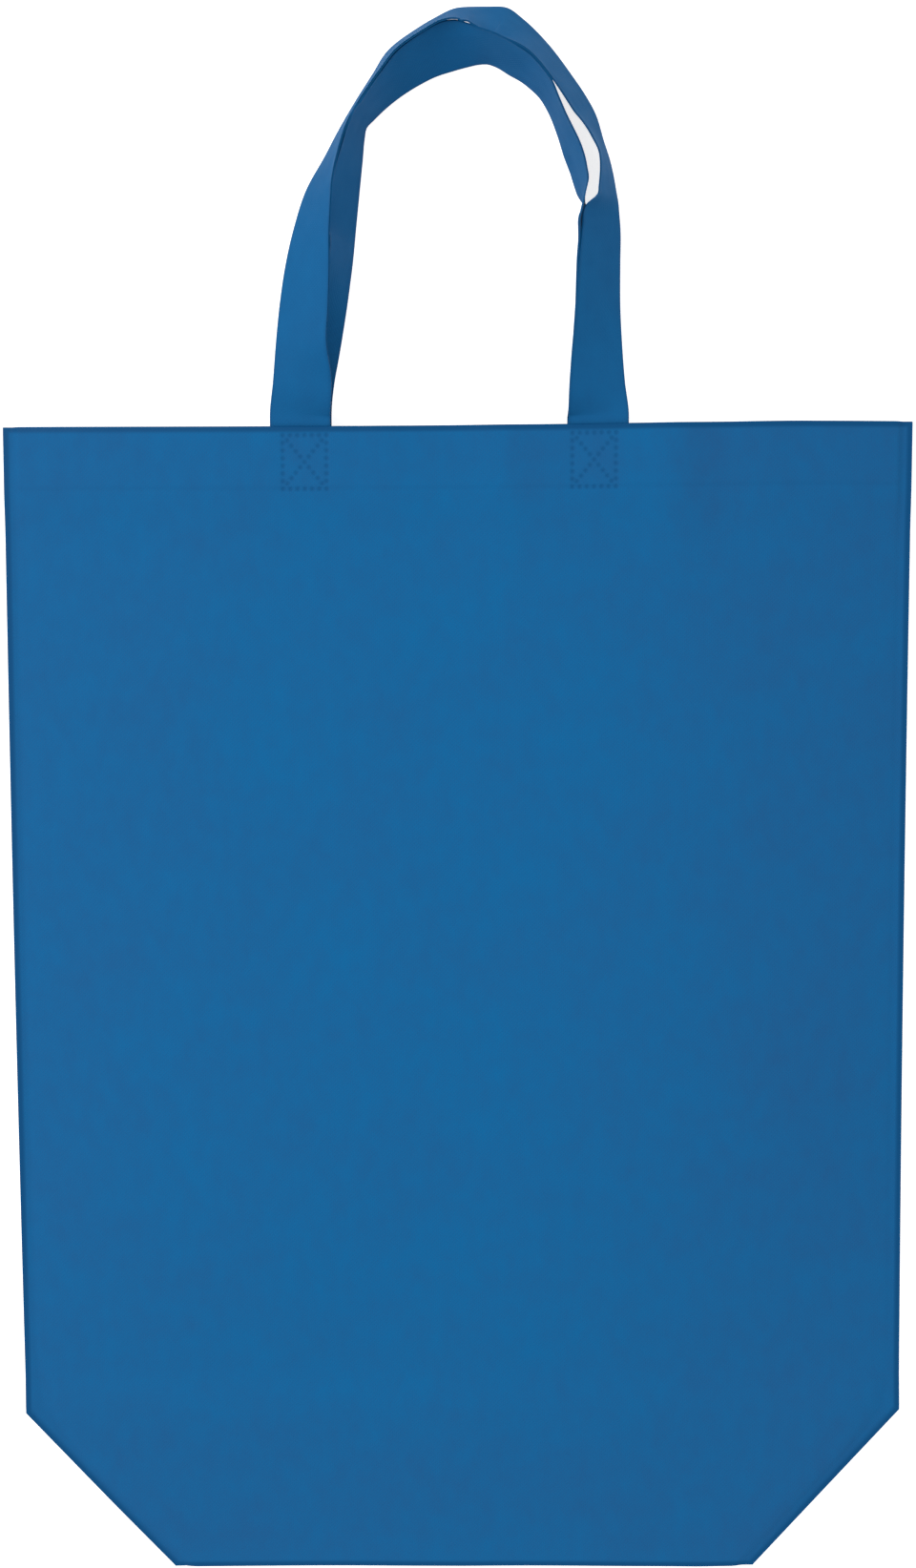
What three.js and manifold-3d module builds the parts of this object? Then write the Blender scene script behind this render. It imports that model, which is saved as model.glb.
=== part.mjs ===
// A flat carrier bag of non-woven sheet, lying empty on its back panel.
// One web is folded into a front panel, an inward W-shaped bottom gusset and a back panel. Its side
// edges and its two cut-off bottom corners are welded, and its mouth has a hem turned inwards. Two
// strap handles, each a strip folded lengthwise in two, are seated inside the hems: the front one
// under the front panel, the back one on the back panel.
// X runs across the bag, Y from its bottom edge to its handles, and Z up from the surface it lies on.

import * as THREE from 'three';
import { mergeVertices } from 'three/addons/utils/BufferGeometryUtils.js';
import Module from 'manifold-3d';

// Driving dimensions of the bag, in millimetres.
const BAG_WIDTH = 380; // across the welded side edges
const BAG_HEIGHT = 495; // bottom edge to mouth
const GUSSET_DEPTH = 70; // bottom edge up to the gusset's inner fold, where a corner cut meets the side
const CORNER_CUT = 64; // width taken off each bottom corner
const HEM_DEPTH = 26; // sheet turned inwards at the mouth
const WELD_WIDTH = 4; // side and corner welds
const SHEET = 0.5; // thickness of the non-woven sheet
const LAYER_GAP = 0.3; // air between layers that lie on each other
const MOUTH_RISE = 12; // how far the front panel stands off the back one along the bag's middle
const BOTTOM_RISE = 3; // the same at the bottom edge, where the folded gusset holds it down
const RISE_LENGTH = 200; // height over which the front panel comes up from the bottom edge
const STACK_RAMP = 20; // length over which a panel comes down from four layers to two

// Driving dimensions of the handles, in millimetres.
const STRAP_WIDTH = 25;
const HANDLE_SPACING = 123.3; // between the middles of a handle's two ends
const HANDLE_OFFSET = -3.35; // the loops sit a little to the left of the bag's middle
const LOOP_RISE = 170.5; // mouth to the top of the front loop
const SEAT_GAP = 0.3; // strap end to the hem that carries it
const END_INSET = 1.5; // strap end above the hem's lower edge
const MOUTH_CLEARANCE = 6; // how far a strap stays flat after it leaves the mouth

// How a loop lies: each station holds the foot, which is the strap's outer edge, as shares of half the
// span and of the rise, then the foot's height in millimetres and the strap's lean in degrees.
const FRONT_LOOP = [
  [-0.98, 0.12, 8.5, 22],
  [-0.95, 0.26, 4, 35],
  [-0.89, 0.42, 1.2, 46],
  [-0.8, 0.55, 1, 59],
  [-0.63, 0.69, 1, 72],
  [-0.49, 0.79, 1, 73],
  [-0.35, 0.87, 1, 70],
  [-0.17, 0.93, 1, 64],
  [0.02, 0.98, 1, 55],
  [0.19, 1, 1, 48],
  [0.37, 0.98, 1, 48],
  [0.52, 0.92, 1, 54],
  [0.67, 0.84, 1, 61],
  [0.81, 0.74, 1, 69],
  [0.91, 0.61, 1, 76],
  [0.96, 0.43, 3, 60],
  [0.96, 0.26, 5.5, 47],
  [0.99, 0.12, 9, 27],
];
const BACK_LOOP = [
  [-0.97, 0.12, 1.2, 4],
  [-0.92, 0.26, 0.9, 2],
  [-0.85, 0.42, 0.9, 9],
  [-0.76, 0.54, 0.9, 34],
  [-0.6, 0.68, 0.9, 60],
  [-0.49, 0.76, 0.9, 60],
  [-0.35, 0.84, 0.9, 50],
  [-0.17, 0.91, 0.9, 43],
  [0, 0.95, 0.9, 39],
  [0.18, 0.96, 0.9, 38],
  [0.34, 0.94, 0.9, 42],
  [0.46, 0.89, 0.9, 50],
  [0.56, 0.82, 0.9, 58],
  [0.68, 0.73, 0.9, 67],
  [0.77, 0.63, 0.9, 66],
  [0.81, 0.52, 0.9, 73],
  [0.87, 0.41, 0.9, 63],
  [0.92, 0.26, 0.9, 51],
  [0.97, 0.12, 1.2, 30],
];

const CROWN_POWER = 3; // how flat the front panel stays across its middle
const COLUMNS = 20; // facets across the bag
const STRAP_FACETS = 6; // facets across a strap, so that its two layers stay parallel where it twists
const STEPS_PER_STATION = 3; // facets along a strap
const OVERRUN = 10; // how far a cutting solid runs past the face it opens

const SHEET_BLUE = '#1d659b';
const SHEET_ROUGHNESS = 0.75;

const wasm = await Module();
wasm.setup();

const { degToRad, lerp, smoothstep } = THREE.MathUtils;
const halfWidth = BAG_WIDTH / 2;
const hemLine = BAG_HEIGHT - HEM_DEPTH;
const strapThickness = 2 * SHEET + LAYER_GAP;

// A closed geometry as a solid that can be joined and cut.
function solid(geometry) {
  geometry.deleteAttribute('normal');
  geometry.deleteAttribute('uv');
  const merged = mergeVertices(geometry);
  return new wasm.Manifold(
    new wasm.Mesh({
      numProp: 3,
      vertProperties: merged.attributes.position.array,
      triVerts: Uint32Array.from(merged.index.array),
    }),
  );
}

// A named mesh with a finish of its own, from a solid.
function sheetMesh(name, body) {
  const { vertProperties, triVerts } = body.getMesh();
  const geometry = new THREE.BufferGeometry();
  geometry.setAttribute('position', new THREE.BufferAttribute(vertProperties, 3));
  geometry.setIndex(new THREE.BufferAttribute(triVerts, 1));
  geometry.computeVertexNormals();
  const material = new THREE.MeshStandardMaterial({
    color: SHEET_BLUE,
    roughness: SHEET_ROUGHNESS,
    metalness: 0,
  });
  const mesh = new THREE.Mesh(geometry, material);
  mesh.name = name;
  return mesh;
}

// Heights of the layers at a place on the bag.

// The front panel's bulge across the bag: 1 along the middle, 0 at the side welds.
function crown(x) {
  const share = Math.min(1, Math.abs(x) / (halfWidth - WELD_WIDTH));
  return 1 - share ** CROWN_POWER;
}

// Extra room between the panels where two more layers lie there, at the gusset and at the hem.
function stack(y) {
  const overGusset = 1 - smoothstep(y, GUSSET_DEPTH, GUSSET_DEPTH + STACK_RAMP);
  const overHem = smoothstep(y, hemLine - STACK_RAMP, hemLine);
  return (2 * SHEET + 3 * LAYER_GAP) * Math.max(overGusset, overHem);
}

// Clear height between the inner faces of the two panels.
function room(x, y) {
  const rise = lerp(BOTTOM_RISE, MOUTH_RISE, smoothstep(y, 0, RISE_LENGTH));
  return stack(y) + rise * crown(x);
}

const floor = () => 0;
const backInner = () => SHEET;
const frontInner = (x, y) => SHEET + room(x, y);
const frontOuter = (x, y) => frontInner(x, y) + SHEET;

// The gusset's two halves lie on the panels at the bottom edge and come together at the inner fold.
function slotHalf(x, y) {
  const open = room(x, y) - 2 * (SHEET + LAYER_GAP);
  const share = THREE.MathUtils.clamp(y / GUSSET_DEPTH, 0, 1);
  return lerp(open, LAYER_GAP, share) / 2;
}

const middle = (x, y) => SHEET + room(x, y) / 2;

// Places where the heights change, shared by every layer so that their facets stay parallel.
const ROWS = [
  0,
  SHEET,
  GUSSET_DEPTH / 2,
  GUSSET_DEPTH,
  GUSSET_DEPTH + SHEET,
  GUSSET_DEPTH + STACK_RAMP / 2,
  GUSSET_DEPTH + STACK_RAMP,
  (GUSSET_DEPTH + STACK_RAMP + RISE_LENGTH) / 2,
  RISE_LENGTH,
  hemLine - STACK_RAMP,
  hemLine - STACK_RAMP / 2,
  hemLine,
  BAG_HEIGHT - SHEET,
  BAG_HEIGHT,
].sort((low, high) => low - high);

// A layer between two heights, from one place along the bag to another, over its whole width.
function layer(start, end, low, high) {
  const rows = [start, ...ROWS.filter((row) => row > start && row < end), end];
  const geometry = new THREE.BoxGeometry(1, 1, 1, COLUMNS, rows.length - 1, 1);
  const position = geometry.attributes.position;
  for (let i = 0; i < position.count; i++) {
    const x = position.getX(i) * BAG_WIDTH;
    const y = rows[Math.round((position.getY(i) + 0.5) * (rows.length - 1))];
    const z = position.getZ(i) > 0 ? high(x, y) : low(x, y);
    position.setXYZ(i, x, y, z);
  }
  return solid(geometry);
}

// The bag's outline with its cut-off corners, drawn in by an inset, as an upright prism.
function outlinePrism(inset, top) {
  const cutLength = Math.hypot(CORNER_CUT, GUSSET_DEPTH);
  const side = halfWidth - inset;
  const foot = halfWidth - CORNER_CUT - (inset * cutLength) / GUSSET_DEPTH;
  const shoulder = ((CORNER_CUT - inset) * GUSSET_DEPTH + inset * cutLength) / CORNER_CUT;
  const outline = new THREE.Shape([
    new THREE.Vector2(-foot, 0),
    new THREE.Vector2(foot, 0),
    new THREE.Vector2(side, shoulder),
    new THREE.Vector2(side, top),
    new THREE.Vector2(-side, top),
    new THREE.Vector2(-side, shoulder),
  ]);
  const depth = frontOuter(0, BAG_HEIGHT) + 2 * OVERRUN;
  const prism = new THREE.ExtrudeGeometry(outline, { depth, bevelEnabled: false });
  prism.translate(0, 0, -OVERRUN);
  return solid(prism);
}

// The web of sheet: panels, gusset, welds and hems.
function bagBody() {
  const envelope = layer(0, BAG_HEIGHT, floor, frontOuter).intersect(outlinePrism(0, BAG_HEIGHT));
  const gusset = layer(
    0,
    GUSSET_DEPTH + SHEET,
    (x, y) => middle(x, y) - slotHalf(x, y) - SHEET,
    (x, y) => middle(x, y) + slotHalf(x, y) + SHEET,
  );
  const inside = layer(SHEET, BAG_HEIGHT + OVERRUN, backInner, frontInner)
    .intersect(outlinePrism(WELD_WIDTH, BAG_HEIGHT + 2 * OVERRUN))
    .subtract(gusset);
  const slot = layer(
    -OVERRUN,
    GUSSET_DEPTH,
    (x, y) => middle(x, y) - slotHalf(x, y),
    (x, y) => middle(x, y) + slotHalf(x, y),
  );
  const shell = envelope.subtract(inside).subtract(slot);

  const frontHem = layer(
    hemLine,
    BAG_HEIGHT,
    (x, y) => frontInner(x, y) - LAYER_GAP - SHEET,
    (x, y) => frontInner(x, y) - LAYER_GAP,
  );
  const frontFold = layer(
    BAG_HEIGHT - SHEET,
    BAG_HEIGHT,
    (x, y) => frontInner(x, y) - LAYER_GAP - SHEET,
    frontOuter,
  );
  const backHem = layer(
    hemLine,
    BAG_HEIGHT,
    () => SHEET + LAYER_GAP,
    () => SHEET + LAYER_GAP + SHEET,
  );
  const backFold = layer(BAG_HEIGHT - SHEET, BAG_HEIGHT, floor, () => SHEET + LAYER_GAP + SHEET);
  return shell.add(frontHem).add(frontFold).add(backHem).add(backFold);
}

// A strip laid along a loop: its two edges are measured from the loop's foot, and its thickness is even.
function strip(stations, nearEdge, farEdge, thickness) {
  const spans = stations.length - 1;
  const steps = spans * STEPS_PER_STATION;
  const geometry = new THREE.BoxGeometry(1, thickness, 1, STRAP_FACETS, 1, steps);
  const route = new THREE.CatmullRomCurve3(stations.map((station) => station.foot));
  const up = new THREE.Vector3(0, 0, 1);
  const position = geometry.attributes.position;
  for (let i = 0; i < position.count; i++) {
    const step = Math.round((position.getZ(i) + 0.5) * steps);
    const span = Math.min(spans - 1, Math.floor(step / STEPS_PER_STATION));
    const lean = lerp(stations[span].lean, stations[span + 1].lean, step / STEPS_PER_STATION - span);
    const ahead = route.getTangent(step / steps).setZ(0).normalize();
    const inward = new THREE.Vector3().crossVectors(ahead, up);
    const across = inward.multiplyScalar(Math.cos(lean)).addScaledVector(up, Math.sin(lean));
    const through = new THREE.Vector3().crossVectors(ahead, across);
    const place = route
      .getPoint(step / steps)
      .addScaledVector(across, lerp(nearEdge, farEdge, position.getX(i) + 0.5))
      .addScaledVector(through, position.getY(i));
    position.setXYZ(i, place.x, place.y, place.z);
  }
  return solid(geometry);
}

// A strap of two layers, folded along its outer edge and open along its inner edge, laid along its loop.
function handle(loop, seatHeight) {
  const halfSpan = (HANDLE_SPACING + STRAP_WIDTH) / 2;
  const endStations = (side) => {
    const outer = seatHeight(HANDLE_OFFSET + side * halfSpan);
    const inner = seatHeight(HANDLE_OFFSET + side * (halfSpan - STRAP_WIDTH));
    const lean = Math.atan2(inner - outer, STRAP_WIDTH);
    return [END_INSET - HEM_DEPTH, 0, MOUTH_CLEARANCE].map((rise) => ({
      foot: new THREE.Vector3(HANDLE_OFFSET + side * halfSpan, BAG_HEIGHT + rise, outer),
      lean,
    }));
  };
  const stations = [
    ...endStations(-1),
    ...loop.map(([across, up, height, lean]) => ({
      foot: new THREE.Vector3(HANDLE_OFFSET + across * halfSpan, BAG_HEIGHT + up * LOOP_RISE, height),
      lean: degToRad(lean),
    })),
    ...endStations(1).reverse(),
  ];
  const airInside = strip(stations, SHEET, STRAP_WIDTH + SHEET, LAYER_GAP);
  return strip(stations, 0, STRAP_WIDTH, strapThickness).subtract(airInside);
}

// Heights at which the middle of a strap's thickness lies under the front hem and on the back hem.
const hemDepthInside = LAYER_GAP + SHEET + SEAT_GAP + strapThickness / 2;
const frontSeat = (x) => frontInner(x, BAG_HEIGHT) - hemDepthInside;
const backSeat = () => SHEET + hemDepthInside;

const bag = new THREE.Group();
bag.name = 'carrier_bag';
bag.add(
  sheetMesh('bag_body', bagBody()),
  sheetMesh('front_handle', handle(FRONT_LOOP, frontSeat)),
  sheetMesh('back_handle', handle(BACK_LOOP, backSeat)),
);

// The origin is the middle of the underside of the whole bag, handles included.
const box = new THREE.Box3().setFromObject(bag, true);
bag.position.set(-(box.min.x + box.max.x) / 2, -(box.min.y + box.max.y) / 2, -box.min.z);

export default bag;
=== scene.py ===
# %% [markdown]
# # A flat carrier bag of non-woven sheet
# The bag is made of three pieces of one blue sheet: a folded body and two strap handles welded inside
# its mouth. It lies empty on its back panel, with both handle loops laid out above it. The packed model
# gives the sizes and the place of each piece, so the lesson starts by loading it.

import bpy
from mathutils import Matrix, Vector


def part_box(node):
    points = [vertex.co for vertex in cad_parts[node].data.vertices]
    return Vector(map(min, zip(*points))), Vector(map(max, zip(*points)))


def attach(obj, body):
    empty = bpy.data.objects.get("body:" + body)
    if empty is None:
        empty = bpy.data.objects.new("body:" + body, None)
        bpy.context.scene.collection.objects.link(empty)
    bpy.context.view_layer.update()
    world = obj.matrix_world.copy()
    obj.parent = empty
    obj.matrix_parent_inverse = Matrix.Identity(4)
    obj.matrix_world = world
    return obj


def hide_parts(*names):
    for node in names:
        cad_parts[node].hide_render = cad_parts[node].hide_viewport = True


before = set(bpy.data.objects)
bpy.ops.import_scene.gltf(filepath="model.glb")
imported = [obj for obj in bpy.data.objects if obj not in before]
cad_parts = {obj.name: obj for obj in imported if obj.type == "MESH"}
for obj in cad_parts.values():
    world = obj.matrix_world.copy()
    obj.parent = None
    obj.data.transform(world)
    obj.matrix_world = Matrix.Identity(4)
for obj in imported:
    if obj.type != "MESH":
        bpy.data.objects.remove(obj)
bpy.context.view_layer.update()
print("pieces in the frame:", sorted(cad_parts))

# %% [markdown]
# ## Sizes
# Lengths are in metres, so a millimetre gets a name of its own. The body's box gives the width, the
# bottom edge and the mouth. The sheet's thickness, the hem, the gusset and the cut corners can't be
# read from a box, so they are written here, as the sheet was cut and folded.

# %% Sizes of the bag
import math

import bmesh
import bpy
from mathutils import Matrix, Vector, noise
from mathutils.bvhtree import BVHTree

mm = 0.001
body_low, body_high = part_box("bag_body")
HALF_WIDTH = body_high.x
BOTTOM = body_low.y
MOUTH = body_high.y
BAG_HEIGHT = MOUTH - BOTTOM
GUSSET_DEPTH = 70 * mm
CORNER_CUT = 64 * mm
HEM_DEPTH = 26 * mm
WELD_WIDTH = 4 * mm
SHEET = 0.5 * mm
LAYER_GAP = 0.3 * mm
print(f"bag {2 * HALF_WIDTH / mm:.0f} mm wide and {BAG_HEIGHT / mm:.0f} mm high")

# %% [markdown]
# ## Camera
# The photograph looks down from above the upper part of the bag, tilted a few degrees towards the bottom
# edge. A wide lens close by would draw the sides together too much there, and a long lens far off would
# leave them parallel, so the lens and the height were chosen together from the bag's outline.

# %% Make the camera
CAMERA_FROM_MOUTH = Vector((2.1, -67.4, 921.6)) * mm
CAMERA_TURN = {"X": -5.2, "Y": 0.17, "Z": -0.32}
LENS = 50

camera = bpy.data.objects.new("camera", bpy.data.cameras.new("camera"))
camera.data.lens = LENS
turn = Matrix.Identity(4)
for axis, angle in CAMERA_TURN.items():
    turn = turn @ Matrix.Rotation(math.radians(angle), 4, axis)
camera.matrix_world = Matrix.Translation(Vector((0, MOUTH, 0)) + CAMERA_FROM_MOUTH) @ turn
bpy.context.scene.collection.objects.link(camera)
bpy.context.scene.camera = camera
print("camera at", [round(value, 3) for value in camera.matrix_world.translation])

# %% [markdown]
# ## Light
# Soft light comes from the upper left: a large lamp there, and an even surround that fills the shadows.
# A small lamp would draw hard shadows on the loops, and the surround alone would leave the flat sheet
# without shape. Together they light a flat surface to about the colour that is written in its material.

# %% Make the lights
SURROUND = 0.71
LAMP_POWER = 52
LAMP_SIZE = 2.0
LAMP_PLACE = Vector((-2.0, 0.8, 2.7))

world = bpy.data.worlds.new("surround")
world.use_nodes = True
world.node_tree.nodes["Background"].inputs["Color"].default_value = (1, 1, 1, 1)
world.node_tree.nodes["Background"].inputs["Strength"].default_value = SURROUND
bpy.context.scene.world = world
bpy.context.scene.view_settings.view_transform = "Standard"

lamp = bpy.data.objects.new("lamp", bpy.data.lights.new("lamp", "AREA"))
lamp.data.energy = LAMP_POWER
lamp.data.size = LAMP_SIZE
lamp.location = LAMP_PLACE
lamp.rotation_mode = "QUATERNION"
lamp.rotation_quaternion = (-LAMP_PLACE).to_track_quat("-Z", "Y")
bpy.context.scene.collection.objects.link(lamp)
print("lamp", round(LAMP_PLACE.length, 2), "m from the bag")

# %% [markdown]
# ## Shader arithmetic
# A material is a net of nodes. Writing each Math node and link by hand hides the idea, so one small
# class wraps a socket: arithmetic on it adds the Math node, and one method adds any other node.

# %% A wire in a material
class Wire:
    """One socket of a node tree, with arithmetic that adds nodes to the same tree."""

    def __init__(self, tree, socket=None):
        self.tree = tree
        self.socket = socket

    def add(self, kind, settings=None, sockets=None, output=0):
        node = self.tree.nodes.new(kind)
        for name, value in (settings or {}).items():
            setattr(node, name, value)
        for name, value in (sockets or {}).items():
            if isinstance(value, Wire):
                self.tree.links.new(value.socket, node.inputs[name])
            else:
                node.inputs[name].default_value = value
        return Wire(self.tree, node.outputs[output] if node.outputs else None)

    def math(self, operation, *values):
        return self.add("ShaderNodeMath", {"operation": operation}, dict(enumerate(values)))

    def __add__(self, other):
        return self.math("ADD", self, other)

    def __sub__(self, other):
        return self.math("SUBTRACT", self, other)

    def __rsub__(self, other):
        return self.math("SUBTRACT", other, self)

    def __mul__(self, other):
        return self.math("MULTIPLY", self, other)

    __radd__ = __add__
    __rmul__ = __mul__


def new_material(name):
    """An empty material and a wire to build it with."""
    material = bpy.data.materials.new(name)
    material.use_nodes = True
    material.node_tree.nodes.clear()
    return material, Wire(material.node_tree)


print("operators:", [name for name in vars(Wire) if name.startswith("__")])

# %% [markdown]
# ## Non-woven sheet
# The sheet is spun from fine plastic fibres and held together by thousands of small pressed dots. Close
# up it shows the dots in offset rows and the fibres between them, and from further away only a soft
# cloudiness, because the fibres never lie quite evenly. A weave pattern would be wrong here. All of it
# follows the flat sheet, so it reads the map of the sheet before folding. Welded places are pressed
# nearly to film, so they are darker and a little glossier. The same dark colour is painted along the edges
# as a dark outline, which stands in for the shade where the sheet turns at its edges. Shade on the body
# is painted in too, as a deeper tone, together with the weld pads' own deeper tone. The mesh stores both
# shares, and the finish reads them.

# %% Finish of the sheet
FLAT_SPAN = 1.25
DOT_PITCH = 1.6 * mm
DOT_CORE = 0.018
DOT_RIM = 0.075
DOT_NARROWING = 1.5
FIBRE_SIZE = 0.35 * mm
FIBRE_STRETCH = (1, 0.18, 1)
FIBRE_TURNS = (24, -17)
CLOUD_SIZE = 7 * mm
CLOUD_STRETCH = (1, 0.6, 1)
SHADE_SIZE = 45 * mm
TONE_PARTS = {"cloud": 0.55, "shade": 0.45, "fibres": 0.25, "dots": 0.10}
TONE_RANGE = (0.30, 0.75)
TONE_SWING = 0.3
PLAIN_DEPTH = 0.32
PAINTED_SHADE_AND_PAD_DEPTH = 0.5
RELIEF_PARTS = {"fibres": 0.35, "dots": 0.8, "cloud": 0.3}
ROUGHNESS = 0.72
ROUGHNESS_PARTS = {"cloud": 0.2, "dots": 0.10, "weld": 0.22}
SPECULAR = 0.08
BUMP_STRENGTH = 0.35
BUMP_HEIGHT = 0.12 * mm


def noise_on(place, size, stretch=(1, 1, 1), turn=0.0, detail=2.0):
    """Noise of about one size in metres over the flat sheet, drawn out and turned on request."""
    turned = place.add(
        "ShaderNodeMapping",
        None,
        {"Vector": place, "Rotation": (0, 0, math.radians(turn)), "Scale": stretch},
    )
    return place.add(
        "ShaderNodeTexNoise",
        None,
        {"Vector": turned, "Scale": FLAT_SPAN / size, "Detail": detail},
    )


def dots_at(across, along):
    """Pressed dots on a square grid of one pitch: 1 in a dot and 0 between the dots."""
    side = across.math("FRACT", across) - 0.5
    length = along.math("FRACT", along) - 0.5
    return across.add(
        "ShaderNodeMapRange",
        {"interpolation_type": "SMOOTHSTEP"},
        {
            "Value": side * side * DOT_NARROWING + length * length,
            "From Min": DOT_CORE,
            "From Max": DOT_RIM,
            "To Min": 1,
            "To Max": 0,
        },
    )


def nonwoven(name, pale, deep, weld_and_outline_colour):
    """A finish of spun fibres and pressed dots in three tones of one colour."""
    material, start = new_material(name)
    flat = start.add("ShaderNodeUVMap", {"uv_map": "flat"})
    weld = start.add("ShaderNodeAttribute", {"attribute_name": "weld"}, output="Fac")
    painted_shade_and_pads = start.add("ShaderNodeAttribute", {"attribute_name": "painted_shade"}, output="Fac")
    pitches = start.add(
        "ShaderNodeVectorMath", {"operation": "SCALE"}, {0: flat, "Scale": FLAT_SPAN / DOT_PITCH}
    )
    parts = start.add("ShaderNodeSeparateXYZ", None, {"Vector": pitches})
    across = parts
    along = Wire(start.tree, parts.socket.node.outputs["Y"])
    dots = start.math("MAXIMUM", dots_at(across, along), dots_at(across + 0.5, along + 0.5))

    one_way, other_way = (noise_on(flat, FIBRE_SIZE, FIBRE_STRETCH, turn) for turn in FIBRE_TURNS)
    fibres = one_way + other_way
    cloud = noise_on(flat, CLOUD_SIZE, CLOUD_STRETCH, detail=3.0)
    shade = noise_on(flat, SHADE_SIZE)
    tone = cloud * TONE_PARTS["cloud"] + shade * TONE_PARTS["shade"]
    tone += (fibres - 1) * TONE_PARTS["fibres"] + dots * TONE_PARTS["dots"]
    spread = start.add(
        "ShaderNodeMapRange",
        None,
        {
            "Value": tone,
            "From Min": TONE_RANGE[0],
            "From Max": TONE_RANGE[1],
            "To Min": -TONE_SWING,
            "To Max": TONE_SWING,
        },
    )
    # The body's painted shade, and the weld pads' own tone, deepen the colour here.
    depth = spread + PLAIN_DEPTH + painted_shade_and_pads * PAINTED_SHADE_AND_PAD_DEPTH
    sheet_colour = start.add(
        "ShaderNodeMix", {"data_type": "RGBA"}, {0: depth, 6: (*pale, 1), 7: (*deep, 1)}, output=2
    )
    # The weld colour covers the welds, and also the thin rim along the edges, where it is a painted dark
    # outline for shade.
    colour = start.add(
        "ShaderNodeMix", {"data_type": "RGBA"}, {0: weld, 6: sheet_colour, 7: (*weld_and_outline_colour, 1)}, output=2
    )
    relief = fibres * RELIEF_PARTS["fibres"] + cloud * RELIEF_PARTS["cloud"]
    relief -= dots * (1 - weld) * RELIEF_PARTS["dots"]
    roughness = ROUGHNESS + (cloud - 0.5) * ROUGHNESS_PARTS["cloud"]
    roughness -= dots * ROUGHNESS_PARTS["dots"] + weld * ROUGHNESS_PARTS["weld"]
    bump = start.add(
        "ShaderNodeBump", None, {"Strength": BUMP_STRENGTH, "Distance": BUMP_HEIGHT, "Height": relief}
    )
    shader = start.add(
        "ShaderNodeBsdfPrincipled",
        None,
        {
            "Base Color": colour,
            "Roughness": roughness,
            "Specular IOR Level": SPECULAR,
            "Normal": bump,
        },
    )
    start.add("ShaderNodeOutputMaterial", None, {"Surface": shader})
    return material


# On the body the deep colour is the colour of the painted shade as well as of the darker random tone.
body_finish = nonwoven(
    "bag_sheet",
    pale=(0.0030, 0.132, 0.342),
    deep=(0.0130, 0.100, 0.266),
    weld_and_outline_colour=(0.0025, 0.072, 0.204),
)
strap_finish = nonwoven(
    "handle_strap",
    pale=(0.0050, 0.120, 0.312),
    deep=(0.0095, 0.095, 0.254),
    weld_and_outline_colour=(0.0025, 0.074, 0.205),
)
print("finishes:", body_finish.name, strap_finish.name)

# %% [markdown]
# ## How the front panel lies
# The back panel lies flat. The front panel stands off it like a shallow pillow: highest along the middle,
# pressed to nothing at the welded edges, and held down at the bottom by the folded gusset. It isn't
# simulated as cloth: the height is a formula of the place on the bag, so the creases stay where they are
# put. A few soft ridges run down from the mouth, and slow waves keep the panel from looking like board.

# %% Heights across the bag
MOUTH_RISE = 12 * mm
BOTTOM_RISE = 3 * mm
RISE_LENGTH = 200 * mm
STACK_RAMP = 20 * mm
CORNER_SOFTNESS = 25 * mm
CROWN_POWER = 3
HEM_LINE = BAG_HEIGHT - HEM_DEPTH
CUT_LENGTH = math.hypot(CORNER_CUT, GUSSET_DEPTH)


def mix(first, second, share):
    return first + (second - first) * share


def soft_step(value, start, end):
    """0 before start, 1 after end, and an even swing between them."""
    share = min(1.0, max(0.0, (value - start) / (end - start)))
    return share * share * (3 - 2 * share)


def from_edges(x, up):
    """Distances in from the two welded edges: the side, and the cut across the bottom corner."""
    side = HALF_WIDTH - abs(x)
    cut = (side * GUSSET_DEPTH + up * CORNER_CUT - CORNER_CUT * GUSSET_DEPTH) / CUT_LENGTH
    return side, cut


def inset(x, up):
    """Distance in from the nearest welded edge, rounded where the side meets the cut."""
    side, cut = from_edges(x, up)
    overlap = max(0.0, 1 - abs(side - cut) / CORNER_SOFTNESS)
    return min(side, cut) - overlap * overlap * CORNER_SOFTNESS / 6


def crown(x, up):
    """The panel's bulge: 0 at the welds and 1 along the middle."""
    share = (HALF_WIDTH - inset(x, up)) / (HALF_WIDTH - WELD_WIDTH)
    return 1 - min(1.0, max(0.0, share)) ** CROWN_POWER


def stacked(up):
    """1 where two more layers lie between the panels, at the gusset and at the hem."""
    over_gusset = 1 - soft_step(up, GUSSET_DEPTH, GUSSET_DEPTH + STACK_RAMP)
    over_hem = soft_step(up, HEM_LINE - STACK_RAMP, HEM_LINE)
    return max(over_gusset, over_hem)


def room(x, up):
    """Clear height between the two panels."""
    rise = mix(BOTTOM_RISE, MOUTH_RISE, soft_step(up, 0, RISE_LENGTH))
    return stacked(up) * (2 * SHEET + 3 * LAYER_GAP) + rise * crown(x, up)


print(f"room at the middle of the mouth {room(0, BAG_HEIGHT) / mm:.1f} mm")

# %% [markdown]
# ## Ridges and waves
# The ridges at the mouth come from handling: the sheet was pulled at the handle welds and let go. Each
# is a smooth swell across the bag that dies away down the panel. The waves are slow noise, and a shallow
# groove marks where the hem ends behind the panel. All of it fades out towards the welds.

# %% Ridges and waves of the front panel
RIDGES = [
    {"x": 90 * mm, "half": 14 * mm, "height": 1.9 * mm, "reach": 90 * mm},
    {"x": 19 * mm, "half": 11 * mm, "height": 1.2 * mm, "reach": 80 * mm},
    {"x": -30 * mm, "half": 6 * mm, "height": 0.4 * mm, "reach": 55 * mm},
    {"x": 128 * mm, "half": 14 * mm, "height": 0.8 * mm, "reach": 70 * mm},
]
HEM_GROOVE = 0.18 * mm
HEM_GROOVE_HALF = 1.1 * mm
WAVE_HEIGHT = 0.7 * mm
WAVE_LENGTH = 95 * mm
WAVE_STRETCH = 1.3
WAVE_PLACE = 4.2
SMALL_WAVE_HEIGHT = 0.4
SMALL_WAVE_SCALE = 2.1
RIPPLE_BORDER = 40 * mm


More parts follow.
